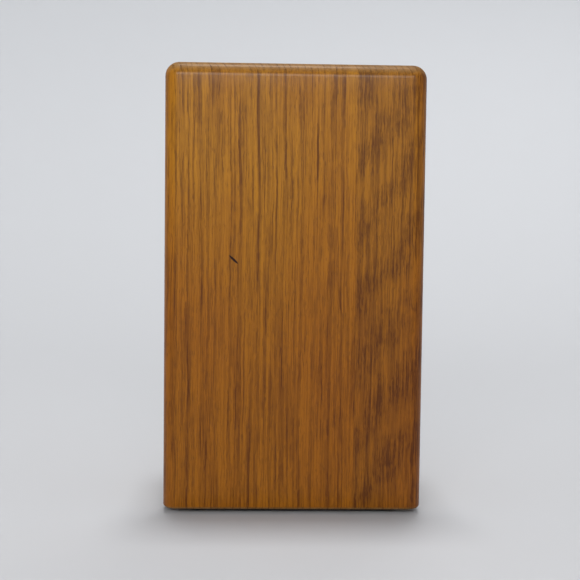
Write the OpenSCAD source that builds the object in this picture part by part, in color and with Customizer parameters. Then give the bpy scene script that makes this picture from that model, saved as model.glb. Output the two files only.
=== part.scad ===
// Upright wooden cryptex. Five ten-sided number wheels turn on a slotted brass tube that stands
// between a base block and a top block, and both blocks are fixed to a round-edged back board.
// A vault core with five lock pins slides up out of the tube once every gate stands in line with
// the slot. Millimetres, +Z up, origin at the centre of the underside. The plain face of the back
// board looks along -Y and the code is read from +Y.

/* [Back board] */
// Width of the board
case_w = 88.9; // [78:0.1:120]
// Height over all, from the felt foot to the top of the board
case_h = 154; // [126:0.5:200]
// Thickness of the board
board_t = 12.7; // [10:0.1:20]
// Radius of the round along the board's two sides and its top
edge_r = 4.8; // [2:0.1:8]
// Width of the narrow stave that is glued to the wide one
narrow_w = 23.6; // [12:0.1:34]

/* [Blocks] */
// Thickness of the base block
base_t = 18; // [14:0.5:26]
// Thickness of the top block
top_t = 14; // [10:0.5:20]
// How far the blocks stand in from each side of the board
block_inset = 5; // [1:0.5:8]
// Radius of the blocks' front corners
block_corner_r = 12; // [4:0.5:16]
// Thickness of the felt foot
foot_t = 1.6; // [1:0.1:3]

/* [Wheels] */
// Radius over the corners of a number wheel
wheel_r = 29; // [26:0.1:36]
// Gap between the wheels and the board behind them
wheel_to_board = 2.5; // [1.5:0.1:8]
// How far the blocks reach past the wheels at the front
block_reach = 2.8; // [1:0.1:10]
// Thickness of the felt ring under each wheel
wheel_felt_t = 0.8; // [0.4:0.1:1.5]

/* [Lock] */
// Outer radius of the guide tube
tube_ro = 16; // [13:0.1:19.5]
// Wall of the guide tube
tube_wall = 2.2; // [1:0.1:3]
// Diameter of a lock pin
pin_d = 3.6; // [2.4:0.1:4.4]
// How far a lock pin stands out of the tube
pin_reach = 3.4; // [2:0.1:4]
// Thickness of the web in a gate ring that stops a pin
web_t = 6; // [3:0.1:8]
// Wall of a gate ring outside its groove
gate_wall = 2.6; // [1.5:0.1:3]

/* [Vault] */
// Width of the pocket in the core
pocket_w = 16; // [8:0.5:18]
// Wood left behind the pocket, where the pins are set
pocket_back = 8.5; // [6:0.1:10]
// Height of the pull cap
cap_h = 11.4; // [8:0.1:18]
// Radius of the pull cap
cap_r = 27; // [22:0.5:28]

/* [Fastenings] */
// Radius of the dowels between the board and the blocks
dowel_r = 4; // [2.5:0.1:5]

/* [Hidden] */
$fn = 64;

wheel_count = 5;
facets = 10;
cut = 0.01;          // how far a cutting shape runs past the face that it opens
slide_gap = 0.1;     // clearance round each sliding or turning fit
landing_gap = 0.3;   // clearance between the core and the pad under it
wheel_play = 0.25;   // clearance over each wheel
glue_gap = 0.05;     // clearance round each piece that is glued or driven into a hole
pin_play = 1;        // lift of a pin before it meets the web over it
slot_gap = 0.4;      // clearance on each side of a pin in the slot and the gates

// Depths, along Y
peg_proud = 0.6;     // how far the domed index pegs stand out of the blocks
depth = board_t + wheel_to_board + 2 * wheel_r + block_reach + peg_proud;
board_y0 = -depth / 2;
board_y1 = board_y0 + board_t;
block_y1 = depth / 2 - peg_proud;
axis_y = board_y1 + wheel_to_board + wheel_r;

// Heights, along Z
base_z1 = foot_t + base_t;
washer_t = 0.6;
cap_z0 = case_h - cap_h;
top_z1 = cap_z0 - washer_t;
top_z0 = top_z1 - top_t;
pitch = (top_z0 - base_z1) / wheel_count;
wheel_h = pitch - wheel_felt_t - wheel_play;

// Widths of the blocks
block_w = case_w - 2 * block_inset;

// Guide tube and what runs in it
tube_seat = 10;
tube_z0 = base_z1 - tube_seat;
tube_ri = tube_ro - tube_wall;
tube_drop = 0.5;     // the tube ends this far under the top block's upper face
slot_w = pin_d + 2 * slot_gap;
slot_z0 = base_z1 + 2;
pad_t = 2;
core_r = tube_ri - slide_gap;
core_z0 = tube_z0 + pad_t + landing_gap;
pin_tip_r = tube_ro + pin_reach;
groove_r = pin_tip_r + 0.5;
gate_ro = groove_r + gate_wall;
groove_h = wheel_h - web_t;

// Pocket of the vault
pocket_z0 = slot_z0 + 8;
pocket_z1 = top_z0 - 8;

// Fastenings
dowel_x = block_w / 2 - 10;
dowel_in_board = 8;
dowel_in_block = 12;
peg_r = 2;
peg_lower_z = tube_z0 + tube_seat / 2;
peg_upper_y = axis_y + groove_r + 2;
peg_upper_z = (top_z0 + top_z1) / 2;
screw_head_r = 4.2;
screw_head_h = 2.6;
screw_r = 1.9;
screw_l = 20;

function wheel_z(i) = base_z1 + i * pitch;
function pin_z(i) = wheel_z(i) + wheel_felt_t + groove_h - pin_play - pin_d / 2;

// A bar with a round section along X, Y or Z
module bar_x(r, l) rotate([0, 90, 0]) cylinder(r = r, h = l);
module bar_y(r, l) rotate([-90, 0, 0]) cylinder(r = r, h = l);

// The whole board: its outer face is rounded over at both sides and the top, and cut square below
module board_blank() {
    w = case_w;
    h = case_h - foot_t;
    translate([-w / 2, board_y0, foot_t]) {
        // behind the rounds
        translate([0, edge_r, 0]) cube([w, board_t - edge_r, h - edge_r]);
        translate([edge_r, edge_r, 0]) cube([w - 2 * edge_r, board_t - edge_r, h]);
        // in front, between the rounds
        translate([edge_r, 0, 0]) cube([w - 2 * edge_r, edge_r, h - edge_r]);
        // rounds along the sides and the top, and the corners where they meet
        for (x = [edge_r, w - edge_r]) {
            translate([x, edge_r, 0]) cylinder(r = edge_r, h = h - edge_r);
            translate([x, edge_r, h - edge_r]) sphere(r = edge_r);
            translate([x, edge_r, h - edge_r]) bar_y(edge_r, board_t - edge_r);
        }
        translate([edge_r, edge_r, h - edge_r]) bar_x(edge_r, w - 2 * edge_r);
    }
}

module dowels(gap) {
    for (x = [-dowel_x, dowel_x], z = [foot_t + base_t / 2, (top_z0 + top_z1) / 2])
        translate([x, board_y1 - dowel_in_board - gap, z])
            bar_y(dowel_r + gap, dowel_in_board + dowel_in_block + 2 * gap);
}

glue_x = case_w / 2 - narrow_w;

module back_board_wide() {
    color([0.62, 0.42, 0.20]) difference() {
        intersection() {
            board_blank();
            translate([-case_w, board_y0 - 1, 0]) cube([case_w + glue_x, board_t + 2, case_h + 1]);
        }
        dowels(glue_gap);
    }
}

module back_board_narrow() {
    color([0.52, 0.33, 0.16]) difference() {
        intersection() {
            board_blank();
            translate([glue_x, board_y0 - 1, 0]) cube([case_w, board_t + 2, case_h + 1]);
        }
        dowels(glue_gap);
    }
}

// Plan of a block: square against the board and round at its front corners
module block_blank(z0, z1) {
    r = block_corner_r;
    translate([-block_w / 2, board_y1, z0]) cube([block_w, block_y1 - board_y1 - r, z1 - z0]);
    translate([r - block_w / 2, board_y1, z0]) cube([block_w - 2 * r, block_y1 - board_y1, z1 - z0]);
    for (x = [r - block_w / 2, block_w / 2 - r])
        translate([x, block_y1 - r, z0]) cylinder(r = r, h = z1 - z0);
}

module base_block() {
    color([0.60, 0.40, 0.19]) difference() {
        block_blank(foot_t, base_z1);
        translate([0, axis_y, tube_z0]) cylinder(r = tube_ro + glue_gap, h = tube_seat + cut);
        dowels(glue_gap);
        translate([0, axis_y, peg_lower_z]) bar_y(peg_r + glue_gap, block_y1 - axis_y + cut);
    }
}

module top_block() {
    color([0.60, 0.40, 0.19]) difference() {
        block_blank(top_z0, top_z1);
        translate([0, axis_y, top_z0 - cut]) cylinder(r = tube_ro + glue_gap, h = top_t + 2 * cut);
        // keyway that lets the lock pins out
        translate([-slot_w / 2, axis_y, top_z0 - cut]) cube([slot_w, groove_r, top_t + 2 * cut]);
        dowels(glue_gap);
        translate([0, peg_upper_y - glue_gap, peg_upper_z]) bar_y(peg_r + glue_gap, block_y1 - axis_y);
    }
}

// Felt under the base block and the board, in from their edges
module foot_felt() {
    inset = 1;
    side = block_w / 2 - inset;
    front_r = block_corner_r - inset;
    back_r = 6;
    y0 = board_y0 + edge_r;
    y1 = block_y1 - inset;
    color([0.13, 0.11, 0.10]) {
        translate([-side, y0 + back_r, 0]) cube([2 * side, y1 - y0 - back_r - front_r, foot_t]);
        translate([back_r - side, y0, 0]) cube([2 * (side - back_r), y1 - y0 - front_r, foot_t]);
        translate([front_r - side, y1 - front_r, 0]) cube([2 * (side - front_r), front_r, foot_t]);
        for (turn = [-1, 1]) {
            translate([turn * (side - back_r), y0 + back_r, 0]) cylinder(r = back_r, h = foot_t);
            translate([turn * (side - front_r), y1 - front_r, 0]) cylinder(r = front_r, h = foot_t);
        }
    }
}

module board_dowels() { color([0.80, 0.66, 0.46]) dowels(0); }

// Brass tube that the wheels turn on, with one slot for the lock pins
module guide_tube() {
    l = top_z1 - tube_drop - tube_z0;
    color([0.78, 0.62, 0.30]) difference() {
        translate([0, axis_y, tube_z0]) cylinder(r = tube_ro, h = l);
        translate([0, axis_y, tube_z0 - cut]) cylinder(r = tube_ri, h = l + 2 * cut);
        translate([-slot_w / 2, axis_y, slot_z0]) cube([slot_w, tube_ro + 1, l]);
        translate([0, axis_y, peg_lower_z]) bar_y(peg_r + glue_gap, tube_ro + 1);
    }
}

module landing_pad() {
    color([0.72, 0.54, 0.34])
        translate([0, axis_y, tube_z0]) cylinder(r = tube_ri - glue_gap, h = pad_t);
}

// Peg with a domed end that stands out of a block's front face
module index_peg(y0, z) {
    dome_r = (pow(peg_r, 2) + pow(peg_proud, 2)) / (2 * peg_proud);
    color([0.80, 0.65, 0.33]) intersection() {
        translate([0, y0, z]) bar_y(peg_r, block_y1 + peg_proud - y0);
        union() {
            translate([0, y0 - cut, z]) bar_y(2 * peg_r, block_y1 - y0 + cut);
            translate([0, block_y1 + peg_proud - dome_r, z]) sphere(r = dome_r);
        }
    }
}

// The lower peg runs through the tube and keeps it from turning
module index_peg_lower() { index_peg(axis_y + tube_ri + 0.6, peg_lower_z); }

module index_peg_upper() { index_peg(peg_upper_y, peg_upper_z); }

// Ten-sided oak ring with a facet to the front
module number_ring(i) {
    color([0.64, 0.43, 0.21])
        translate([0, axis_y, wheel_z(i) + wheel_felt_t]) difference() {
            cylinder(r = wheel_r, h = wheel_h, $fn = facets);
            translate([0, 0, -cut]) cylinder(r = gate_ro + glue_gap, h = wheel_h + 2 * cut);
        }
}

// Maple ring inside a wheel: a groove for the pin below, and above it a web with one gate
module gate_ring(i) {
    color([0.86, 0.74, 0.55])
        translate([0, axis_y, wheel_z(i) + wheel_felt_t]) difference() {
            cylinder(r = gate_ro, h = wheel_h);
            translate([0, 0, -cut]) cylinder(r = tube_ro + slide_gap, h = wheel_h + 2 * cut);
            translate([0, 0, -cut]) cylinder(r = groove_r, h = groove_h + cut);
            translate([-slot_w / 2, 0, groove_h - cut]) cube([slot_w, groove_r, web_t + 2 * cut]);
        }
}

// Felt glued under a wheel, which gives it a light drag
module felt_ring(i) {
    ring_ri = groove_r + 0.5;
    ring_ro = (gate_ro + wheel_r * cos(180 / facets)) / 2;
    color([0.25, 0.08, 0.07])
        translate([0, axis_y, wheel_z(i)]) difference() {
            cylinder(r = ring_ro, h = wheel_felt_t);
            translate([0, 0, -cut]) cylinder(r = ring_ri, h = wheel_felt_t + 2 * cut);
        }
}

// Pocket with round ends, open to the back of the core
module pocket() {
    r = pocket_w / 2;
    y1 = core_r - pocket_back;
    translate([-r, -core_r - 1, pocket_z0 + r])
        cube([pocket_w, core_r + 1 + y1, pocket_z1 - pocket_z0 - pocket_w]);
    for (z = [pocket_z0 + r, pocket_z1 - r])
        translate([0, -core_r - 1, z]) bar_y(r, core_r + 1 + y1);
}

pin_root_r = core_r - pocket_back + 2;

module pins(gap) {
    for (i = [0 : wheel_count - 1])
        translate([0, pin_root_r - gap, pin_z(i)]) bar_y(pin_d / 2 + gap, pin_tip_r - pin_root_r + gap);
}

module vault_core() {
    lead = 1.2;
    color([0.84, 0.71, 0.52]) translate([0, axis_y, 0]) difference() {
        union() {
            translate([0, 0, core_z0]) cylinder(r1 = core_r - lead, r2 = core_r, h = lead);
            translate([0, 0, core_z0 + lead]) cylinder(r = core_r, h = cap_z0 - core_z0 - lead);
        }
        pocket();
        pins(glue_gap);
        translate([0, 0, case_h - screw_l - glue_gap]) cylinder(r = screw_r + glue_gap, h = screw_l);
    }
}

module lock_pins() { color([0.80, 0.65, 0.33]) translate([0, axis_y, 0]) pins(0); }

// Countersunk head, and the seat for it when it is given a gap
module screw_head(gap) {
    cylinder(r1 = screw_r + gap, r2 = screw_head_r + gap, h = screw_head_h + (gap > 0 ? cut : 0));
}

// Turned cap with a cove under its rim for the fingertips
module pull_cap() {
    rim_r = 1.6;
    skirt_r = cap_r - 1.6;
    cove_depth = 2;
    cove_z0 = 1.6;
    cove_z1 = cap_h - 4.4;
    cove_mid = (cove_z0 + cove_z1) / 2;
    cove_half = (cove_z1 - cove_z0) / 2;
    cove = [for (a = [-90 : 15 : 90]) [skirt_r - cove_depth * cos(a), cove_mid + cove_half * sin(a)]];
    rim = [for (a = [0 : 15 : 90]) [cap_r - rim_r + rim_r * cos(a), cap_h - rim_r + rim_r * sin(a)]];
    color([0.60, 0.40, 0.19]) translate([0, axis_y, cap_z0]) difference() {
        rotate_extrude() polygon(concat(
            [[0, 0], [skirt_r, 0]], cove, [[cap_r, cove_z1 + 0.8]], rim, [[0, cap_h]]
        ));
        translate([0, 0, cap_h - screw_head_h]) screw_head(glue_gap);
        translate([0, 0, -cut]) cylinder(r = screw_r + glue_gap, h = cap_h);
    }
}

// Leather washer glued under the cap
module cap_washer() {
    color([0.30, 0.18, 0.11]) translate([0, axis_y, top_z1]) difference() {
        cylinder(r = cap_r - 3, h = washer_t);
        translate([0, 0, -cut]) cylinder(r = core_r + glue_gap, h = washer_t + 2 * cut);
    }
}

// Slotted countersunk wood screw that joins the cap to the core
module cap_screw() {
    color([0.80, 0.65, 0.33]) translate([0, axis_y, case_h]) difference() {
        union() {
            translate([0, 0, -screw_head_h]) screw_head(0);
            translate([0, 0, -screw_l]) cylinder(r = screw_r, h = screw_l - screw_head_h + cut);
        }
        translate([-screw_head_r - 1, -0.45, -1.1]) cube([2 * screw_head_r + 2, 0.9, 2]);
    }
}

back_board_wide();
back_board_narrow();
base_block();
top_block();
foot_felt();
board_dowels();
guide_tube();
landing_pad();
index_peg_lower();
index_peg_upper();
for (i = [0 : wheel_count - 1]) {
    number_ring(i);
    gate_ring(i);
    felt_ring(i);
}
vault_core();
lock_pins();
pull_cap();
cap_washer();
cap_screw();
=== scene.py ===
"""An upright wooden cryptex: lacquered oak boards and blocks, five numbered oak wheels on a brass tube, and
a maple core that lifts out by a turned cap. The CAD frame gives the places and the main sizes. Lengths
below are in millimetres."""

import math

import bpy
import numpy as np
from mathutils import Matrix, Vector


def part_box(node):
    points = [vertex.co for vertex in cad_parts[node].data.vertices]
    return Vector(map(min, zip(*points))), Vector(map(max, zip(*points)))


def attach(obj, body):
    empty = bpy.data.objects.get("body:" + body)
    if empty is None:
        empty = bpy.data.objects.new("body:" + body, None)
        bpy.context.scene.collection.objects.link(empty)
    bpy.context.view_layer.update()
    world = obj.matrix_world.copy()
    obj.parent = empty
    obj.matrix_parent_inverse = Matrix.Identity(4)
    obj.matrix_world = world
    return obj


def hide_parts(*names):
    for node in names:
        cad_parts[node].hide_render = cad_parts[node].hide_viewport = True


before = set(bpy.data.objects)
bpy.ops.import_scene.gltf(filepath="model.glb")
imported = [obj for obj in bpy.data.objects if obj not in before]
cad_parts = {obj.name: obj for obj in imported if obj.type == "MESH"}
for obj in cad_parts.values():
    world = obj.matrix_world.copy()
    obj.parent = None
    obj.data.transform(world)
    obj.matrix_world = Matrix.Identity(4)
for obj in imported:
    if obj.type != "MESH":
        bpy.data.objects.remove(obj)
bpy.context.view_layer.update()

MM = 0.001
WHEELS = range(1, 6)

# Sizes that the frame's boxes don't give
EDGE_R = 4.8
BLOCK_CORNER_R = 12.0
BLOCK_ARRIS = 0.7
BORE_ARRIS = 0.3
BORE_COUNTERSINK = 0.25
BOARD_FOOT_ARRIS = 1.3
FACETS = 10
WHEEL_ARRIS = 0.7
WHEEL_EDGE_R = 1.2
TUBE_GAP = 0.05
PIN_SLOT_W = 4.4
GROOVE_R = 19.9
WASHER_BORE_R = 13.75
FELT_BORE_R = GROOVE_R + 0.5
FOOT_BACK_R = 6.0
FOOT_FRONT_R = BLOCK_CORNER_R - 1
FOOT_BULGE = 0.45

# The pull cap and the screw in it
CAP_RIM_R = 1.6
CAP_SKIRT_IN = 1.6
CAP_SKIRT_H = 1.6
CAP_SKIRT_ARRIS = 0.5
CAP_COVE_DEPTH = 2.0
CAP_HEAD_H = 4.4
CAP_LINES_IN = (4.4, 6.0)
SCREW_HEAD_H = 2.6
SCREW_HOLE_R = 1.95

# Numbers cut into the wheels
DIGIT_H = 11.0
DIGIT_W = 6.4
CUT_HALF_W = 0.62
CUT_DEPTH = 0.5
CUT_MARGIN = 0.4
CUT_GRID = 0.19
FAR_FROM_CUT = 9.0
CODE = [4, 7, 0, 9, 2]


def box_mm(node):
    """Lowest and highest corner of a CAD node, in millimetres."""
    lo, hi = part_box(node)
    return np.array(lo) / MM, np.array(hi) / MM


# ---------------------------------------------------------------- mesh making


def spaced(start, end, most):
    """Stations from start to end, no further apart than most."""
    return np.linspace(start, end, max(2, int(math.ceil(abs(end - start) / most)) + 1))


def joined(*stretches):
    """One rising list of stations from several that meet end to end."""
    stations = np.sort(np.concatenate(stretches))
    return stations[np.concatenate([[True], np.diff(stations) > 1e-6])]


def grid_faces(rows, cols, wrap_rows=False, wrap_cols=False):
    """Quads between neighbouring rows and columns of a grid of points, closed round where asked."""
    r, c = np.meshgrid(
        np.arange(rows if wrap_rows else rows - 1),
        np.arange(cols if wrap_cols else cols - 1),
        indexing="ij",
    )
    r2, c2 = (r + 1) % rows, (c + 1) % cols
    return np.stack([r * cols + c, r2 * cols + c, r2 * cols + c2, r * cols + c2], -1).reshape(-1, 4)


def signed_volume(points, quads):
    """Sum of the tetrahedra between the origin and each quad's two triangles: positive if the faces point
    outwards."""
    a, b, c, d = (points[quads[:, i]] for i in range(4))
    return float(np.sum(a * np.cross(b, c)) + np.sum(a * np.cross(c, d))) / 6


def piece(name, points, quads, body, material, replaces=(), smooth=30):
    """A mesh object from points in millimetres. It rides on a body and stands for the CAD nodes in
    replaces."""
    if signed_volume(points, quads) < 0:
        quads = quads[:, ::-1]
    mesh = bpy.data.meshes.new(name)
    mesh.from_pydata((points * MM).tolist(), [], quads.tolist())
    mesh.materials.append(material)
    mesh.shade_smooth()
    mesh.set_sharp_from_angle(angle=math.radians(smooth))
    mesh.validate()
    obj = bpy.data.objects.new(name, mesh)
    bpy.context.scene.collection.objects.link(obj)
    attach(obj, body)
    if replaces:
        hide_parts(*replaces)
    return obj


def box_shell(stations):
    """A closed box. Each side is a grid over two of the three lists of stations, and the sides share their
    edges."""
    points, quads = [], []
    count = 0
    for axis in range(3):
        across, along = [i for i in range(3) if i != axis]
        u, v = np.meshgrid(stations[across], stations[along], indexing="ij")
        for end, outward in ((0, axis != 1), (-1, axis == 1)):
            side = np.empty(u.shape + (3,))
            side[..., axis] = stations[axis][end]
            side[..., across] = u
            side[..., along] = v
            faces = grid_faces(*u.shape) + count
            points.append(side.reshape(-1, 3))
            quads.append(faces if outward else faces[:, ::-1])
            count += u.size
    points, quads = np.concatenate(points), np.concatenate(quads)
    keys, first, same = np.unique(np.round(points, 5), axis=0, return_index=True, return_inverse=True)
    return points[first], same.reshape(-1)[quads]


def rounded_end(edge, inner, steps=7):
    """Stations from a box's edge to where its round starts, each one turning the surface by the same
    angle."""
    turn = np.tan(np.linspace(math.pi / 4, 0, steps))
    return inner + (edge - inner) * turn


def round_over(points, core_lo, core_hi):
    """Draws each point towards the nearest point of a core box, in the ratio of its greatest offset to its
    whole offset. A square edge outside the core becomes a quarter round, and a corner part of a sphere."""
    core = np.clip(points, core_lo, core_hi)
    offset = points - core
    greatest = np.abs(offset).max(axis=1)
    whole = np.linalg.norm(offset, axis=1)
    ratio = np.divide(greatest, whole, out=np.ones_like(whole), where=whole > 1e-9)
    return core + offset * ratio[:, None]


def ring_loop(angles, radii, heights, centre):
    """Points of a closed profile carried round an upright axis. radii and heights have one row for each
    profile point, and radii may also differ from angle to angle."""
    x = centre[0] + radii * np.cos(angles)
    y = centre[1] + radii * np.sin(angles)
    z = np.broadcast_to(heights, x.shape)
    return np.stack([x, y, z], -1).reshape(-1, 3)


def arc(centre_r, centre_z, radius, start, end, steps=6):
    """Points (r, z) on an arc of a profile, from one angle to another in degrees."""
    a = np.radians(np.linspace(start, end, steps))
    return np.stack([centre_r + radius * np.cos(a), centre_z + radius * np.sin(a)], -1)


def turned(name, profile, centre, body, material, replaces=(), steps=128, smooth=30):
    """A lathe-turned piece: a closed profile of (r, z) points, clear of the axis, carried round it."""
    angles = np.linspace(0, 2 * math.pi, steps, endpoint=False)
    radii = np.repeat(profile[:, :1], steps, axis=1)
    points = ring_loop(angles, radii, profile[:, 1:], centre)
    quads = grid_faces(len(profile), steps, wrap_rows=True, wrap_cols=True)
    return piece(name, points, quads, body, material, replaces, smooth)


# ---------------------------------------------------------------- materials


class Finish:
    """A material's node tree, with a short call for each kind of node that the finishes share."""

    def __init__(self, name):
        self.material = bpy.data.materials.new(name)
        self.material.use_nodes = True
        self.tree = self.material.node_tree
        self.shader = self.tree.nodes["Principled BSDF"]

    def node(self, kind, inputs=(), **settings):
        """A new node with its settings, its inputs fed by name or number."""
        made = self.tree.nodes.new(kind)
        for key, value in settings.items():
            setattr(made, key, value)
        for socket, value in dict(inputs).items():
            self.feed(made.inputs[socket], value)
        return made

    def feed(self, socket, value):
        """Links another node's output to a socket, or sets the socket to a plain value."""
        if isinstance(value, bpy.types.NodeSocket):
            self.tree.links.new(value, socket)
        elif value is not None:
            socket.default_value = value

    def grain_space(self, turn=(0, 0, 0), shift=(0, 0, 0)):
        """Object coordinates in millimetres, turned so that the wood's fibres run along Z."""
        place = self.node("ShaderNodeTexCoord").outputs["Object"]
        mapping = self.node("ShaderNodeMapping", {0: place, 1: shift, 2: turn, 3: (1 / MM,) * 3})
        return mapping.outputs[0]

    def stretched(self, space, per_mm):
        """Coordinates multiplied by a number for each axis."""
        return self.node("ShaderNodeVectorMath", {0: space, 1: per_mm}, operation="MULTIPLY").outputs[0]

    def noise(self, space, per_mm, detail=2.0, roughness=0.5, distortion=0.0, colour=False, shift=0.0):
        """Soft noise, from 0 to 1, with so many lumps in each millimetre along each axis, or three such as
        a colour."""
        if shift:
            space = self.node(
                "ShaderNodeVectorMath", {0: space, 1: (37 * shift,) * 3}, operation="ADD"
            ).outputs[0]
        fed = {"Vector": self.stretched(space, per_mm), "Scale": 1.0, "Detail": detail}
        fed.update({"Roughness": roughness, "Distortion": distortion})
        return self.node("ShaderNodeTexNoise", fed).outputs[1 if colour else 0]

    def math(self, operation, a, b=None, c=None, clamp=False):
        """One step of arithmetic on up to three values."""
        made = self.node("ShaderNodeMath", {0: a, 1: b, 2: c}, operation=operation, use_clamp=clamp)
        return made.outputs[0]

    def spread(self, value, lo, hi, to_lo=0.0, to_hi=1.0, smooth=True):
        """Carries a value from the range lo to hi over to the range to_lo to to_hi, along an S curve or a
        line."""
        kind = "SMOOTHSTEP" if smooth else "LINEAR"
        fed = {0: value, 1: lo, 2: hi, 3: to_lo, 4: to_hi}
        return self.node("ShaderNodeMapRange", fed, interpolation_type=kind).outputs[0]

    def mix(self, factor, a, b, blend="MIX"):
        """Colour a turning into colour b, or a blended with b, by factor."""
        made = self.node("ShaderNodeMix", data_type="RGBA", blend_type=blend)
        for socket, value in ((made.inputs[0], factor), (made.inputs[6], a), (made.inputs[7], b)):
            if isinstance(value, tuple) and len(value) == 3:
                value = (*value, 1)
            self.feed(socket, value)
        return made.outputs[2]

    def bump(self, height, strength, distance):
        """A normal tilted by the slope of height, which stands for so many millimetres."""
        fed = {"Height": height, "Strength": strength, "Distance": distance * MM}
        return self.node("ShaderNodeBump", fed).outputs[0]

    def done(self, **shader):
        """Sets the shader's sockets by name, with _ for a space."""
        for key, value in shader.items():
            if isinstance(value, tuple) and len(value) == 3:
                value = (*value, 1)
            self.feed(self.shader.inputs[key.replace("_", " ")], value)
        return self.material


SWAY_MIDDLE = 1.65  # how far the sway and the jitter together move the pattern at their middle


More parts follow.
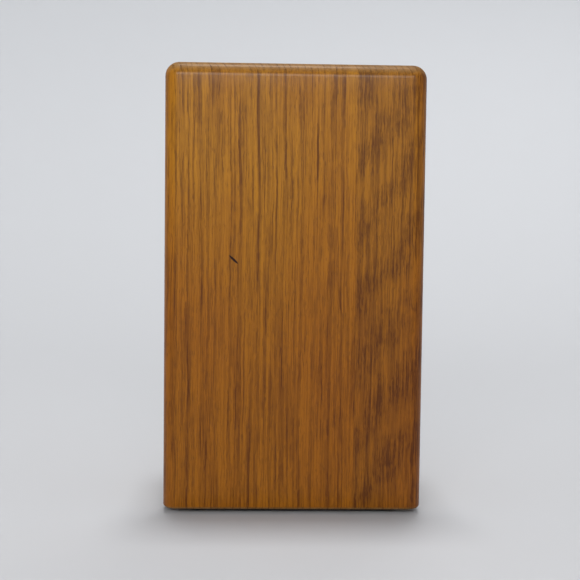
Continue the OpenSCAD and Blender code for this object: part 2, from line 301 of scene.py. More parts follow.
def oak(
    name,
    light=(0.425, 0.175, 0.0075),
    dark=(0.135, 0.042, 0.0020),
    lines=0.34,
    fibres=0.95,
    dashes=0.12,
    bands=(0.10, 0.03, 0.0),
    band_weight=0.10,
    band_wander=2.4,
    ring_gap=2.3,
    ring_lines=0.42,
    streaks=(),
    turn=(0, 0, 0),
    shift=(0, 0, 0),
    # painted shade: the next setting darkens the board's colour towards its foot
    painted_foot_shade=0.0,
    # painted shade: the next setting darkens the rounded side edges
    painted_round_shade=False,
    gloss=0.22,
    fleck=None,
    cut_numbers=False,
):
    """Stained oak under satin lacquer. The fibres run along Z after turn, and wander a little. Long dark
    lines, fine fibres and short dashes lie along them. bands says how many soft dark bands are crossed in
    each millimetre across, into and along the wood, and the dashes crowd together in them. Growth rings
    start every ring_gap millimetres, and the end grain shows them as lines of open pores. streaks are dark
    lines of their own: place, half width, depth."""
    f = Finish(name)
    space = f.grain_space(turn, shift)
    sway = f.noise(space, (0.018, 0.018, 0.012), 3.0, colour=True)
    bent = f.node(
        "ShaderNodeVectorMath", {0: sway, 1: (2.6, 2.6, 0), 2: space}, operation="MULTIPLY_ADD"
    ).outputs[0]
    jitter = f.noise(space, (0.3, 0.3, 0.16), 2.0, colour=True)
    bent = f.node(
        "ShaderNodeVectorMath", {0: jitter, 1: (0.7, 0.7, 0), 2: bent}, operation="MULTIPLY_ADD"
    ).outputs[0]
    across, deep, along = f.node("ShaderNodeSeparateXYZ", {0: bent}).outputs
    across = f.math("SUBTRACT", across, SWAY_MIDDLE)

    # soft bands, broken into blotches
    ring = f.math("MULTIPLY", across, bands[0])
    ring = f.math("MULTIPLY_ADD", deep, bands[1], ring)
    ring = f.math("MULTIPLY_ADD", along, bands[2], ring)
    ring = f.math("MULTIPLY_ADD", f.noise(space, (0.06, 0.06, 0.04), 3.0, 0.6), band_wander, ring)
    wave = f.math("MULTIPLY_ADD", f.math("SINE", f.math("MULTIPLY", ring, 2 * math.pi)), 0.5, 0.5)
    blotch = f.spread(f.noise(space, (0.30, 0.30, 0.16), 3.0, 0.65), 0.32, 0.62)
    band = f.math("MULTIPLY", wave, f.math("MULTIPLY_ADD", blotch, 0.75, 0.25))

    # lines, fibres, dashes and pores, all drawn out along the wood
    line = f.spread(f.noise(bent, (0.6, 0.6, 0.009), 3.0, 0.62), 0.50, 0.38)
    fibre = f.noise(bent, (1.6, 1.6, 0.03), 3.0, 0.75)
    dash = f.spread(f.noise(bent, (2.3, 2.3, 0.12), 2.0, 0.6), 0.47, 0.53)
    pores = f.spread(f.noise(bent, (4.0, 4.0, 0.28), 1.0), 0.60, 0.70)
    crowd = f.math("MULTIPLY_ADD", band, 0.6, 0.4)

    # growth rings: a thin dark line at the start of each, and a tint of its own for each
    count = f.math("DIVIDE", f.math("MULTIPLY_ADD", deep, 0.35, across), ring_gap)
    count = f.math("MULTIPLY_ADD", f.noise(space, (0.05, 0.05, 0.006), 2.0), 3.0, count)
    start = f.spread(f.math("FRACT", count), 0.02, 0.30, 1.0, 0.0)
    broken = f.spread(f.noise(bent, (0.25, 0.25, 0.03), 3.0, 0.6), 0.35, 0.62, 0.15, 1.0)
    start = f.math("MULTIPLY", start, broken)
    ring_number = f.math("FLOOR", count)
    own = f.node("ShaderNodeTexWhiteNoise", {"W": ring_number}, noise_dimensions="1D").outputs["Value"]

    tone = f.math("MULTIPLY_ADD", f.math("SUBTRACT", fibre, 0.5), 2.6 * fibres, 0.17)
    tone = f.math("MULTIPLY_ADD", line, lines, tone)
    tone = f.math("MULTIPLY_ADD", f.math("MULTIPLY", dash, crowd), dashes, tone)
    tone = f.math("MULTIPLY_ADD", band, band_weight, tone)
    tone = f.math("MULTIPLY_ADD", start, ring_lines, tone)
    tone = f.math("MULTIPLY_ADD", f.math("SUBTRACT", own, 0.5), 0.3 * ring_lines, tone)
    for place, wide, depth in streaks:
        off = f.math("ABSOLUTE", f.math("SUBTRACT", across, place))
        faded = f.spread(f.noise(space, (0.02, 0.02, 0.03), 2.0, shift=place), 0.36, 0.52)
        faded = f.math("MULTIPLY", faded, f.spread(along, 30, 120, 0.3, 1.0))
        tone = f.math(
            "MULTIPLY_ADD", f.math("MULTIPLY", f.spread(off, 0.1, wide, 1.0, 0.0), faded), depth, tone
        )
    tone = f.math("ADD", tone, 0.0, clamp=True)
    colour = f.mix(tone, light, dark)
    broad = f.noise(space, (0.03, 0.03, 0.010), 2.0)
    colour = f.mix(f.spread(broad, 0.38, 0.66, 0.0, 0.5), colour, (0.88, 0.74, 0.66), "MULTIPLY")
    colour = f.mix(f.math("MULTIPLY", pores, 0.35), colour, (0.045, 0.012, 0.003))
    # painted shade: the colour darkens towards the board's foot, standing in for less light on the lower face
    if painted_foot_shade:
        height = f.node("ShaderNodeSeparateXYZ", {0: f.grain_space()}).outputs[2]
        colour = f.mix(f.spread(height, 140, 35, 0.0, painted_foot_shade), colour, (0.74, 0.62, 0.52), "MULTIPLY")
    # painted shade: the side rounds darken as they turn away to the side, standing in for less light reaching
    # them
    if painted_round_shade:
        facing = f.node(
            "ShaderNodeSeparateXYZ", {0: f.node("ShaderNodeTexCoord").outputs["Normal"]}
        ).outputs[0]
        tilted = f.spread(f.math("ABSOLUTE", facing), 0.12, 0.6)
        colour = f.mix(tilted, colour, (0.98, 0.93, 0.86), "MULTIPLY")
    end = end_grain(f, turn)
    dots = f.spread(f.noise(bent, (2.6, 2.6, 0.2), 2.0, 0.7), 0.47, 0.60)
    open_pores = f.math("MULTIPLY", dots, f.math("MULTIPLY_ADD", start, 0.7, 0.3))
    end_tone = f.math("MULTIPLY_ADD", own, 0.25, f.math("MULTIPLY_ADD", start, 0.40, open_pores), clamp=True)
    end_colour = f.mix(end_tone, (0.285, 0.158, 0.058), (0.085, 0.034, 0.010))
    colour = f.mix(f.math("MULTIPLY", end, 0.8), colour, end_colour)
    if fleck is not None:
        colour = f.mix(fleck_mask(f, *fleck), colour, (0.012, 0.003, 0.001))
    height = f.math("MULTIPLY_ADD", pores, -0.6, f.math("MULTIPLY", tone, -0.4))
    normal = f.bump(height, 0.25, 0.08)
    rough = f.spread(tone, 0.0, 1.0, 0.40, 0.50, smooth=False)
    if cut_numbers:
        cut = f.node("ShaderNodeAttribute", attribute_name="cut_distance").outputs["Fac"]
        burnt = f.spread(cut, CUT_HALF_W - 0.10, CUT_HALF_W, 1.0, 0.0)
        scorch = f.spread(cut, CUT_HALF_W, CUT_HALF_W + 0.5, 0.35, 0.0)
        colour = f.mix(scorch, colour, (0.07, 0.02, 0.006))
        colour = f.mix(burnt, colour, (0.014, 0.008, 0.005))
        rough = f.math("MULTIPLY_ADD", burnt, 0.25, rough)
    return f.done(
        Base_Color=colour,
        Roughness=rough,
        Normal=normal,
        Specular_IOR_Level=0.05,
        Coat_Weight=f.spread(end, 0, 1, gloss, 0.14 * gloss),
        Coat_Roughness=0.22,
    )


def end_grain(f, turn):
    """1 where the surface cuts straight across the fibres, 0 where it runs along them."""
    facing = f.node("ShaderNodeTexCoord").outputs["Normal"]
    mapped = f.node("ShaderNodeMapping", {0: facing, 2: turn}).outputs[0]
    along = f.node("ShaderNodeSeparateXYZ", {0: mapped}).outputs[2]
    return f.spread(f.math("ABSOLUTE", along), 0.12, 0.7)


FLECK_DEEP = 1.5


def fleck_mask(f, x, z, angle, half_l, half_w):
    """1 inside a short slanting mark on the outer face, 0 round it: distance along, across and into it, as an
    ellipsoid."""
    place = f.node("ShaderNodeTexCoord").outputs["Object"]
    moved = f.node("ShaderNodeMapping", {0: place, 1: (-x, -BOARD_FRONT, -z), 3: (1 / MM,) * 3}).outputs[0]
    wobble = f.noise(moved, (1.2, 1.2, 1.2), 2.0)
    turned_in = f.node("ShaderNodeMapping", {0: moved, 2: (0, angle, 0)}).outputs[0]
    split = f.node("ShaderNodeSeparateXYZ", {0: turned_in})
    a = f.math("DIVIDE", split.outputs[0], half_l)
    b = f.math("DIVIDE", split.outputs[2], half_w)
    c = f.math("DIVIDE", split.outputs[1], FLECK_DEEP)
    reach = f.math("ADD", f.math("MULTIPLY", a, a), f.math("MULTIPLY", b, b))
    reach = f.math("MULTIPLY_ADD", c, c, reach)
    reach = f.math("MULTIPLY_ADD", wobble, 0.8, reach)
    return f.spread(reach, 1.0, 1.9, 1.0, 0.0)


def maple(name):
    """Pale waxed maple: faint fibres, a few soft streaks, and a light curl across them."""
    f = Finish(name)
    space = f.grain_space()
    fibre = f.noise(space, (1.6, 1.6, 0.02), 3.0, 0.6)
    streak = f.noise(space, (0.18, 0.18, 0.006), 2.0)
    curl = f.noise(space, (0.08, 0.08, 0.22), 1.0)
    colour = f.mix(f.spread(fibre, 0.3, 0.7, 0.0, 0.6), (0.66, 0.47, 0.27), (0.52, 0.34, 0.17))
    colour = f.mix(f.spread(streak, 0.55, 0.75, 0.0, 0.5), colour, (0.42, 0.25, 0.12))
    colour = f.mix(f.spread(curl, 0.4, 0.65, 0.0, 0.18), colour, (0.78, 0.60, 0.38))
    return f.done(Base_Color=colour, Roughness=0.42, Normal=f.bump(fibre, 0.12, 0.05), Coat_Weight=0.1)


def beech(name):
    """Bare beech with short dark rays."""
    f = Finish(name)
    space = f.grain_space((math.pi / 2, 0, 0))
    rays = f.noise(space, (3.0, 3.0, 0.5), 1.0)
    colour = f.mix(f.spread(rays, 0.6, 0.7), (0.60, 0.39, 0.21), (0.38, 0.21, 0.10))
    return f.done(Base_Color=colour, Roughness=0.6)


def brass(name):
    """Satin brass with fine brush or lathe lines and a little tarnish."""
    f = Finish(name)
    space = f.grain_space()
    lines = f.noise(space, (3.0, 3.0, 12.0), 3.0, 0.7)
    cloud = f.noise(space, (0.15, 0.15, 0.15), 3.0)
    colour = f.mix(f.spread(cloud, 0.45, 0.75), (0.78, 0.56, 0.24), (0.55, 0.36, 0.14))
    rough = f.math("MULTIPLY_ADD", cloud, 0.16, f.math("MULTIPLY_ADD", lines, 0.12, 0.16))
    return f.done(Base_Color=colour, Metallic=1.0, Roughness=rough, Normal=f.bump(lines, 0.06, 0.02))


def felt(name, dark, pale):
    """Pressed felt: short matted hairs with a soft sheen."""
    f = Finish(name)
    space = f.grain_space()
    hairs = f.noise(space, (3.5, 3.5, 3.5), 4.0, 0.75, distortion=1.5)
    clumps = f.noise(space, (0.6, 0.6, 0.6), 2.0)
    colour = f.mix(f.spread(hairs, 0.35, 0.7), dark, pale)
    height = f.math("MULTIPLY_ADD", clumps, 0.5, hairs)
    return f.done(Base_Color=colour, Roughness=0.95, Normal=f.bump(height, 0.8, 0.25), Sheen_Weight=0.3)


def leather(name):
    """Dark leather with a pebbled grain."""
    f = Finish(name)
    space = f.grain_space()
    fed = {"Vector": space, "Scale": 1.6}
    pebbles = f.node("ShaderNodeTexVoronoi", fed, feature="SMOOTH_F1").outputs[0]
    tone = f.noise(space, (0.3, 0.3, 0.3), 3.0)
    colour = f.mix(tone, (0.085, 0.036, 0.018), (0.15, 0.07, 0.035))
    return f.done(Base_Color=colour, Roughness=0.6, Normal=f.bump(pebbles, 0.5, 0.1))


def cork(name):
    """Pressed cork: pale grains with dark crumbs between them."""
    f = Finish(name)
    space = f.grain_space()
    grains = f.node("ShaderNodeTexVoronoi", {"Vector": space, "Scale": 0.7})
    crumbs = f.noise(space, (1.4, 1.4, 1.4), 2.0)
    colour = f.mix(grains.outputs["Color"], (0.48, 0.29, 0.15), (0.36, 0.20, 0.10))
    colour = f.mix(f.spread(crumbs, 0.6, 0.68), colour, (0.10, 0.05, 0.03))
    return f.done(Base_Color=colour, Roughness=0.9, Normal=f.bump(crumbs, 0.5, 0.2))


def studio(name, floor, wall):
    """Plain pale paper, a little darker round the middle, where the lamp is brightest."""
    f = Finish(name)
    flat = f.node("ShaderNodeVectorMath", {0: f.grain_space(), 1: (1, 1, 0)}, operation="MULTIPLY").outputs[0]
    away = f.node("ShaderNodeVectorMath", {0: flat}, operation="LENGTH").outputs["Value"]
    colour = f.mix(f.spread(away, 250, 1300), floor, wall)
    return f.done(Base_Color=colour, Roughness=0.9, Specular_IOR_Level=0.1)


# ---------------------------------------------------------------- places, from the frame

BOARD_FRONT = box_mm("back_board_wide")[0][1]
tube_lo, tube_hi = box_mm("guide_tube")
AXIS = (tube_lo[:2] + tube_hi[:2]) / 2
TUBE_R = (tube_hi[0] - tube_lo[0]) / 2


# ---------------------------------------------------------------- pieces


def stave(node, rounded, material):
    """One stave of the back board: a box with its outer face rounded over along the top, and along its left
    or right side where rounded says so. Near the foot its plan is drawn in along a small quarter circle, to
    ease the arris."""
    lo, hi = box_mm(node)
    core_lo = lo + EDGE_R * np.array([rounded[0], 1, 0])
    core_hi = hi - EDGE_R * np.array([rounded[1], 0, 1])
    stations = [
        joined(
            rounded_end(lo[i], core_lo[i]),
            spaced(core_lo[i], core_hi[i], 6),
            rounded_end(hi[i], core_hi[i]),
        )
        for i in range(3)
    ]
    foot = BOARD_FOOT_ARRIS * (1 - np.cos(np.radians(np.linspace(0, 90, 7))))
    stations[2] = joined(lo[2] + foot, stations[2][stations[2] > lo[2] + BOARD_FOOT_ARRIS + 0.1])
    points, quads = box_shell(stations)
    points = round_over(points, core_lo, core_hi)
    short = np.clip(BOARD_FOOT_ARRIS - (points[:, 2] - lo[2]), 0, BOARD_FOOT_ARRIS)
    inset = BOARD_FOOT_ARRIS - np.sqrt(BOARD_FOOT_ARRIS**2 - short**2)
    out = points[:, :2] - np.clip(points[:, :2], core_lo[:2], core_hi[:2])
    points[:, :2] -= out * (inset / EDGE_R)[:, None]
    return piece(f"{node}_stave", points, quads, "case", material, [node])


def block_reach(angles, inset, lo, hi):
    """How far a block's plan reaches from the wheels' axis at each angle, with all its sides but the one
    against the board moved in by inset: the nearest side's line, or the corner's circle where the ray
    passes a front corner."""
    cos, sin = np.cos(angles), np.sin(angles)
    half_w = (hi[0] - lo[0]) / 2 - inset
    front = hi[1] - AXIS[1] - inset
    back = AXIS[1] - lo[1]
    with np.errstate(divide="ignore"):
        reach = np.minimum(half_w / np.abs(cos), np.where(sin > 0, front, back) / np.abs(sin))
    radius = BLOCK_CORNER_R - inset
    corner_x, corner_y = half_w - radius, front - radius
    past = (np.abs(reach * cos) > corner_x) & (reach * sin > corner_y)
    towards = np.abs(cos) * corner_x + sin * corner_y
    square = towards**2 - corner_x**2 - corner_y**2 + radius**2
    return np.where(past, towards + np.sqrt(np.maximum(square, 0)), reach)


def keyway_reach(angles, bore_r):
    """Distance from the axis to the wall of the bore, which has a keyway for the lock pins towards the
    front."""
    off = np.abs(np.angle(np.exp(1j * (angles - math.pi / 2))))
    half = PIN_SLOT_W / 2
    end = GROOVE_R / np.cos(off)
    with np.errstate(divide="ignore"):
        side = half / np.sin(off)
    reach = np.where(off < math.atan2(half, GROOVE_R), end, side)
    return np.where(off < math.asin(half / bore_r), reach, bore_r)


def block(name, node, hole, material):
    """A base or top block. Its profile runs up the hole's wall, out over the top, down the outside, over an
    eased arris at both edges, and back in underneath, and it is carried round the wheels' axis."""
    lo, hi = box_mm(node)
    front, half = hi[1] - AXIS[1], PIN_SLOT_W / 2
    special = np.array(
        [
            math.atan2(front - BLOCK_CORNER_R, hi[0]),
            math.atan2(front, hi[0] - BLOCK_CORNER_R),
            math.atan2(lo[1] - AXIS[1], hi[0]),
            math.atan2(GROOVE_R, half),
            math.acos(half / hole),
        ]
    )
    even = np.linspace(-math.pi / 2, 1.5 * math.pi, 240, endpoint=False)
    angles = joined(even, special, math.pi - special)
    inner = keyway_reach(angles, hole) if node == "top_block" else np.full_like(angles, hole)
    heights = [lo[2], lo[2] + BORE_ARRIS, hi[2] - BORE_ARRIS]
    rows = [inner] * 3
    turn = np.radians(np.linspace(90, 0, 6))
    top_ring = [(BLOCK_ARRIS * (1 - math.cos(t)), hi[2] - BLOCK_ARRIS * (1 - math.sin(t))) for t in turn]
    bottom_ring = [(i, lo[2] + hi[2] - z) for i, z in reversed(top_ring)]
    outline = top_ring + bottom_ring
    first = block_reach(angles, outline[0][0], lo, hi)
    face = [inner + BORE_COUNTERSINK] + [inner + (first - inner) * part for part in (0.35, 0.7)]
    rows += face + [block_reach(angles, inset, lo, hi) for inset, z in outline] + face[::-1]
    heights += [hi[2]] * 3 + [z for inset, z in outline] + [lo[2]] * 3
    points = ring_loop(angles, np.array(rows), np.array(heights)[:, None], AXIS)
    quads = grid_faces(len(rows), len(angles), wrap_rows=True, wrap_cols=True)
    return piece(name, points, quads, "case", material, [node])


def near_line(x, z, x0, z0, x1, z1):
    """Distance from each point to a straight stroke."""
    dx, dz = x1 - x0, z1 - z0
    t = np.clip(((x - x0) * dx + (z - z0) * dz) / (dx * dx + dz * dz), 0, 1)
    return np.hypot(x - x0 - t * dx, z - z0 - t * dz)


def near_arc(x, z, cx, cz, rx, rz, start, end, steps=40):
    """Distance from each point to an arc of an ellipse, from start to end in degrees, as a run of short
    strokes."""
    a = np.radians(np.linspace(start, end, steps))
    px, pz = cx + rx * np.cos(a), cz + rz * np.sin(a)
    nearest = np.full(np.shape(x), 1e9)
    for i in range(steps - 1):
        nearest = np.minimum(nearest, near_line(x, z, px[i], pz[i], px[i + 1], pz[i + 1]))
    return nearest


def digit_strokes(digit):
    """A numeral as straight strokes and arcs of ellipses, in a box one wide and one high, centred on 0."""
    return {
        0: [("arc", 0, 0, 0.5, 0.5, 0, 360)],
        1: [("line", -0.28, 0.28, 0.06, 0.5), ("line", 0.06, 0.5, 0.06, -0.5)],
        2: [
            ("arc", 0, 0.21, 0.46, 0.29, 165, -35),
            ("line", 0.377, 0.045, -0.46, -0.5),
            ("line", -0.46, -0.5, 0.48, -0.5),
        ],
        3: [("arc", -0.03, 0.25, 0.43, 0.25, 150, -90), ("arc", -0.03, -0.25, 0.49, 0.25, 90, -150)],
        4: [
            ("line", 0.2, 0.5, -0.48, -0.2),
            ("line", -0.48, -0.2, 0.48, -0.2),
            ("line", 0.2, 0.5, 0.2, -0.5),
        ],
        5: [
            ("line", 0.4, 0.5, -0.34, 0.5),
            ("line", -0.34, 0.5, -0.42, 0.04),
            ("arc", -0.03, -0.18, 0.48, 0.32, 132, -150),
        ],
        6: [("arc", 0, -0.2, 0.46, 0.3, 0, 360), ("arc", 0.42, -0.16, 0.88, 0.7, 180, 108)],
        7: [("line", -0.46, 0.5, 0.46, 0.5), ("line", 0.46, 0.5, -0.14, -0.5)],
        8: [("arc", 0, 0.26, 0.40, 0.24, 0, 360), ("arc", 0, -0.24, 0.48, 0.26, 0, 360)],
        9: [("arc", 0, 0.2, 0.46, 0.3, 0, 360), ("arc", -0.42, 0.16, 0.88, 0.7, 0, -72)],
    }[digit]


def digit_distance(x, z, digit):
    """Distance in millimetres from each point of a facet to the numeral's nearest stroke."""
    nearest = np.full(np.shape(x), 1e9)
    for kind, *n in digit_strokes(digit):
        sizes = (n[0] * DIGIT_W, n[1] * DIGIT_H, n[2] * DIGIT_W, n[3] * DIGIT_H)
        near = near_line if kind == "line" else near_arc
        nearest = np.minimum(nearest, near(x, z, *sizes, *n[4:]))
    return nearest


def facet_reach(off, inset, apothem):
    """Distance from the axis to a ten-sided outline moved in by inset, at an angle off a facet's middle:
    the facet's line, or the small circle that eases the corner."""
    line = apothem - inset
    reach = line / np.cos(off)
    centre = apothem - WHEEL_EDGE_R
    side = centre * math.tan(math.pi / FACETS)
    radius = WHEEL_EDGE_R - inset
    past = np.abs(reach * np.sin(off)) > side
    towards = np.cos(off) * centre + np.abs(np.sin(off)) * side
    square = towards**2 - centre**2 - side**2 + radius**2
    return np.where(past, towards + np.sqrt(np.maximum(square, 0)), reach)


def number_wheel(i, material):
    """A wheel's oak ring. Its outline has ten facets, and each facet's wall is a fine grid with a numeral
    cut into it: the wall is sunk by a round-bottomed groove along the numeral's strokes."""
    node = f"number_ring_{i}"
    lo, hi = box_mm(node)
    apothem = (hi[1] - lo[1]) / 2
    half_facet = math.pi / FACETS
    bore = box_mm(f"gate_ring_{i}")
    bore_r = (bore[1][0] - bore[0][0]) / 2 + TUBE_GAP
    reach_s = apothem * math.tan(half_facet)
    cut_s = DIGIT_W / 2 + CUT_HALF_W + CUT_MARGIN
    cut_z = DIGIT_H / 2 + CUT_HALF_W + CUT_MARGIN
    side = spaced(cut_s, reach_s - WHEEL_EDGE_R, 1.5)
    corner = np.linspace(reach_s - WHEEL_EDGE_R, reach_s, 5)
    across = joined(-corner, -side, spaced(-cut_s, cut_s, CUT_GRID), side, corner)[:-1]
    off = np.tile(np.arctan(across / apothem), FACETS)
    middle = np.repeat(math.pi / 2 + 2 * half_facet * np.arange(FACETS), len(across))
    angles = middle + off
    mid_z = (lo[2] + hi[2]) / 2
    wall = joined(
        spaced(lo[2] + WHEEL_ARRIS, mid_z - cut_z, 1.2),
        spaced(mid_z - cut_z, mid_z + cut_z, CUT_GRID),
    )
    wall = joined(wall, spaced(mid_z + cut_z, hi[2] - WHEEL_ARRIS, 1.2))
    ease = np.radians(np.linspace(0, 90, 5))[1:]
    insets = WHEEL_ARRIS * (1 - np.cos(ease))
    rises = WHEEL_ARRIS * np.sin(ease)
    up = [(0.0, z) for z in wall] + [(a, hi[2] - WHEEL_ARRIS + b) for a, b in zip(insets, rises)]
    profile = [(a, lo[2] + WHEEL_ARRIS - b) for a, b in zip(insets[::-1], rises[::-1])] + up
    rows = [facet_reach(off, inset, apothem) for inset, z in profile]
    heights = [z for inset, z in profile]
    outer = rows[-1]
    for part, z in ((0.5, hi[2]), (0.0, hi[2]), (0.0, mid_z), (0.0, lo[2]), (0.5, lo[2])):
        rows.append(bore_r + (outer - bore_r) * part)
        heights.append(z)
    rows, heights = np.array(rows), np.array(heights)[:, None]
    distance = np.full(rows.shape, FAR_FROM_CUT)
    tall = heights[:, 0]
    inside = np.flatnonzero((np.arange(len(tall)) < len(profile)) & (np.abs(tall - mid_z) <= cut_z + 0.01))
    for k in range(FACETS):
        cols = np.arange(k * len(across), (k + 1) * len(across))
        digit = (CODE[i - 1] + k) % 10
        s, z = np.meshgrid(across, tall[inside] - mid_z)
        distance[np.ix_(inside, cols)] = digit_distance(s, z, digit)
    sunk = CUT_DEPTH * np.clip(1 - (distance / CUT_HALF_W) ** 2, 0, 1)
    rows = rows - sunk / np.cos(off)
    points = ring_loop(angles, rows, heights, AXIS)
    quads = grid_faces(*rows.shape, wrap_rows=True, wrap_cols=True)
    made = piece(f"numbered_wheel_{i}", points, quads, f"wheel_{i}", material, [node], smooth=35)
    layer = made.data.attributes.new("cut_distance", "FLOAT", "POINT")
    layer.data.foreach_set("value", distance.ravel().astype(np.float32))
    return made


def pull_cap(material):
    """The turned cap: a flat top with two fine turned lines, a round rim, a cove for the fingers and a
    short skirt."""
    lo, hi = box_mm("pull_cap")
    radius = (hi[0] - lo[0]) / 2
    skirt = radius - CAP_SKIRT_IN
    screw_lo, screw_hi = box_mm("cap_screw")
    head_r = (screw_hi[0] - screw_lo[0]) / 2 + TUBE_GAP
    cove_lo, cove_hi = lo[2] + CAP_SKIRT_H, hi[2] - CAP_HEAD_H
    cove_half = (cove_hi - cove_lo) / 2
    turn = np.radians(np.linspace(-90, 90, 17))
    cove = np.stack(
        [skirt - CAP_COVE_DEPTH * np.cos(turn), (cove_lo + cove_hi) / 2 + cove_half * np.sin(turn)], -1
    )
    line = np.array([[0.35, 0.0], [0.15, -0.22], [-0.15, -0.22], [-0.35, 0.0]])
    lines = [line + [r, hi[2]] for r in (radius - inward for inward in CAP_LINES_IN)]
    profile = np.concatenate(
        [
            [[SCREW_HOLE_R, lo[2]], [SCREW_HOLE_R, hi[2] - SCREW_HEAD_H]],
            [[head_r - 0.15, hi[2] - 0.12], [head_r + 0.2, hi[2]], [12.0, hi[2]]],
            lines[1][::-1],
            lines[0][::-1],
            arc(radius - CAP_RIM_R, hi[2] - CAP_RIM_R, CAP_RIM_R, 90, -20, 10),
            cove[::-1],
            arc(skirt - CAP_SKIRT_ARRIS, lo[2] + CAP_SKIRT_ARRIS, CAP_SKIRT_ARRIS, 0, -90, 4),
            [[14.0, lo[2]]],
        ]
    )
    return turned("turned_cap", profile, AXIS, "core", material, ["pull_cap"], steps=160)


def soft_ring(name, node, inner, body, material):
    """A flat ring of felt or leather: half circles at its outer edge and at its bore, carried round the
    axis."""
    lo, hi = box_mm(node)
    outer = (hi[0] - lo[0]) / 2
    half = (hi[2] - lo[2]) / 2
    mid = (lo[2] + hi[2]) / 2
    profile = np.concatenate(
        [arc(outer - half, mid, half, -90, 90, 7), arc(inner + half, mid, half, 90, 270, 7)]
    )
    return turned(name, profile, AXIS, body, material, [node], steps=128)


def foot_pad(material):
    """The felt foot: a rounded rectangle whose edge bulges a little where the weight presses it."""
    lo, hi = box_mm("foot_felt")
    centre = (lo[:2] + hi[:2]) / 2
    half = (hi[:2] - lo[:2]) / 2

    def reach(angles, inset):
        """How far the outline reaches at each angle: the nearest side's line, or a corner's circle."""
        cos, sin = np.cos(angles), np.sin(angles)
        radius = np.where(sin > 0, FOOT_FRONT_R, FOOT_BACK_R)
        with np.errstate(divide="ignore"):
            line = np.minimum((half[0] - inset) / np.abs(cos), (half[1] - inset) / np.abs(sin))
        cx, cy = half[0] - radius, half[1] - radius
        past = (np.abs(line * cos) > cx) & (np.abs(line * sin) > cy)
        towards = np.abs(cos) * cx + np.abs(sin) * cy
        square = towards**2 - cx**2 - cy**2 + (radius - inset) ** 2
        return np.where(past, towards + np.sqrt(np.maximum(square, 0)), line)

    angles = np.linspace(0, 2 * math.pi, 240, endpoint=False)
    bulge = np.radians(np.linspace(-90, 90, 9))
    rows = [reach(angles, FOOT_BULGE * (1 - math.cos(b))) for b in bulge]
    heights = [(lo[2] + hi[2]) / 2 + (hi[2] - lo[2]) / 2 * math.sin(b) for b in bulge]
    for z in (hi[2], lo[2]):
        rows.append(rows[0] * 0.05)
        heights.append(z)
    points = ring_loop(angles, np.array(rows), np.array(heights)[:, None], centre)
    quads = grid_faces(len(rows), len(angles), wrap_rows=True, wrap_cols=True)
    return piece("felt_foot", points, quads, "case", material, ["foot_felt"], smooth=60)


# ---------------------------------------------------------------- finishes

BOARD_GLOSS = 0.3
# the wide stave's darkest lines: place across the board, half width, depth of tone
RIFT_STREAKS = [
    (-18.6, 0.55, 0.45),
    (-12.8, 0.55, 0.55),
    (-6.8, 0.5, 0.60),
    (7.2, 0.55, 0.50),
    (16.0, 0.6, 0.35),
]
FLECK = (-20.8, 87.5, math.radians(-43), 2.0, 0.38)  # place across and up, slant, half length, half width
rift_oak = oak(
    "rift_oak_board",
    streaks=RIFT_STREAKS,
    painted_foot_shade=1.0,
    painted_round_shade=True,
    gloss=BOARD_GLOSS,
    fleck=FLECK,
)
flat_oak = oak(
    "flat_sawn_oak_board",
    light=(0.355, 0.138, 0.0068),
    dark=(0.125, 0.040, 0.0024),
    lines=0.26,
    fibres=1.05,
    dashes=0.48,
    bands=(-0.054, 0.02, 0.040),
    band_weight=0.30,
    band_wander=1.1,
    ring_lines=0.30,
    painted_foot_shade=0.8,
    painted_round_shade=True,
    gloss=BOARD_GLOSS,
    shift=(57, 31, 3),
)
LYING = (0, math.pi / 2, 0)
block_oak = oak("block_oak", turn=LYING, shift=(40, 13, 5))
cap_oak = oak("cap_oak", turn=LYING, shift=(90, 31, 17))
wheel_oaks = [oak(f"wheel_oak_{i}", shift=(17 * i, 29 * i, 11 * i), cut_numbers=True) for i in WHEELS]
core_maple = maple("core_maple")
satin_brass = brass("satin_brass")
black_felt = felt("dark_felt", (0.012, 0.010, 0.009), (0.045, 0.038, 0.034))

# ---------------------------------------------------------------- assembly

stave("back_board_wide", (1, 0), rift_oak)
stave("back_board_narrow", (0, 1), flat_oak)
block("eased_base_block", "base_block", TUBE_R + TUBE_GAP, block_oak)
block("eased_top_block", "top_block", TUBE_R + TUBE_GAP, block_oak)
foot_pad(black_felt)
for i in WHEELS:
    number_wheel(i, wheel_oaks[i - 1])
    soft_ring(f"felt_drag_ring_{i}", f"felt_ring_{i}", FELT_BORE_R, f"wheel_{i}", black_felt)
pull_cap(cap_oak)
soft_ring("leather_cap_washer", "cap_washer", WASHER_BORE_R, "core", leather("cap_leather"))

CAD_FINISHES = {
    "guide_tube": satin_brass,
    "index_peg_lower": satin_brass,
    "index_peg_upper": satin_brass,
    "lock_pins": satin_brass,
    "cap_screw": satin_brass,
    "vault_core": core_maple,
    "landing_pad": cork("landing_cork"),
    "board_dowels": beech("dowel_beech"),
}
CAD_FINISHES.update({f"gate_ring_{i}": core_maple for i in WHEELS})
for node, material in CAD_FINISHES.items():
    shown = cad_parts[node]
    shown.data.materials.clear()
    shown.data.materials.append(material)

# ---------------------------------------------------------------- floor, light and camera


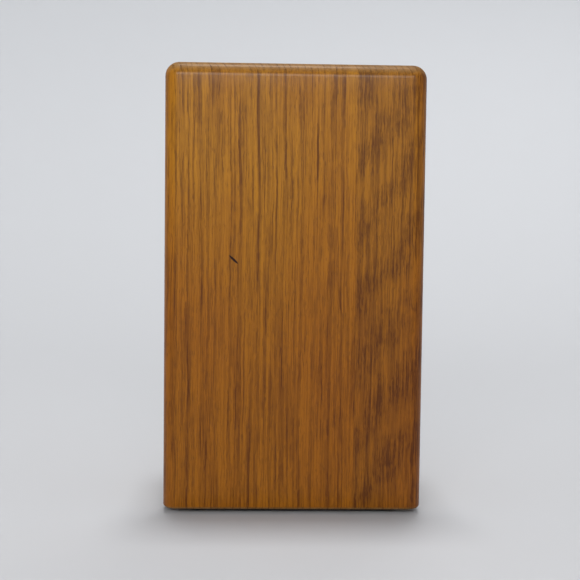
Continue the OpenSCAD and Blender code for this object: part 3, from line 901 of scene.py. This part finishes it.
def studio_bowl(floor_r=450, bend_r=1050, steps=96):
    """Floor and wall in one sheet: a flat disc of floor_r, then a quarter circle of bend_r up, carried
    round Z."""
    bend = np.radians(np.linspace(0, 90, 31))
    r = np.concatenate([[1, floor_r * 0.5], floor_r + bend_r * np.sin(bend)])
    z = np.concatenate([[0, 0], bend_r * (1 - np.cos(bend))])
    angles = np.linspace(0, 2 * math.pi, steps, endpoint=False)
    points = ring_loop(angles, np.repeat(r[:, None], steps, 1), z[:, None], (0, 0))
    points = np.vstack([points, [[0, 0, 0]]])
    quads = grid_faces(len(r), steps, wrap_cols=True)[:, ::-1].tolist()
    middle = [[len(points) - 1, i, (i + 1) % steps] for i in range(steps)]
    mesh = bpy.data.meshes.new("studio_bowl")
    mesh.from_pydata((points * MM).tolist(), [], quads + middle)
    mesh.shade_smooth()
    mesh.materials.append(studio("pale_paper", (0.52, 0.525, 0.54), (0.61, 0.62, 0.64)))
    obj = bpy.data.objects.new("studio_bowl", mesh)
    bpy.context.scene.collection.objects.link(obj)


def soft_light(name, place, aim, size, power, glossy=True):
    """A soft light, so wide and so high, at a place in millimetres. It faces a point, and glossy says if it
    is seen in reflections."""
    data = bpy.data.lights.new(name, "AREA")
    data.shape = "RECTANGLE"
    data.size, data.size_y = size[0] * MM, size[1] * MM
    data.energy = power
    obj = bpy.data.objects.new(name, data)
    obj.location = Vector(place) * MM
    obj.rotation_mode = "QUATERNION"
    obj.rotation_quaternion = (Vector(aim) - Vector(place)).to_track_quat("-Z", "Y")
    obj.visible_glossy = glossy
    bpy.context.scene.collection.objects.link(obj)


CAMERA_X, CAMERA_AWAY, CAMERA_Z = -15.6, 400, 102.8
CAMERA_TURN = (2.01, -3.64, 0.67)  # yaw, pitch and roll, in degrees
CAMERA_LENS = 73.3


def place_camera():
    """The camera stands in front of the back board, a little to its left, and looks slightly down."""
    data = bpy.data.cameras.new("camera")
    data.sensor_width = 36
    data.lens = CAMERA_LENS
    camera = bpy.data.objects.new("camera", data)
    bpy.context.scene.collection.objects.link(camera)
    place = Vector((CAMERA_X, BOARD_FRONT - CAMERA_AWAY, CAMERA_Z)) * MM
    yaw, pitch, roll = (math.radians(a) for a in CAMERA_TURN)
    camera.matrix_world = (
        Matrix.Translation(place)
        @ Matrix.Rotation(-yaw, 4, "Z")
        @ Matrix.Rotation(math.pi / 2 + pitch, 4, "X")
        @ Matrix.Rotation(roll, 4, "Z")
    )
    bpy.context.scene.camera = camera


studio_bowl()
soft_light("ceiling_lamp", (0, 185, 1600), (0, 0, 0), (340, 340), 16.0)
soft_light("front_window", (-130, -1250, 480), (0, 0, 120), (900, 500), 12.4)
soft_light("back_fill", (250, 900, 1000), (0, 0, 80), (500, 500), 3.0, glossy=False)
world = bpy.data.worlds.new("studio")
world.use_nodes = True
world.node_tree.nodes["Background"].inputs[0].default_value = (0.965, 0.985, 1, 1)
world.node_tree.nodes["Background"].inputs[1].default_value = 0.28
bpy.context.scene.world = world
bpy.context.scene.view_settings.view_transform = "Standard"
place_camera()
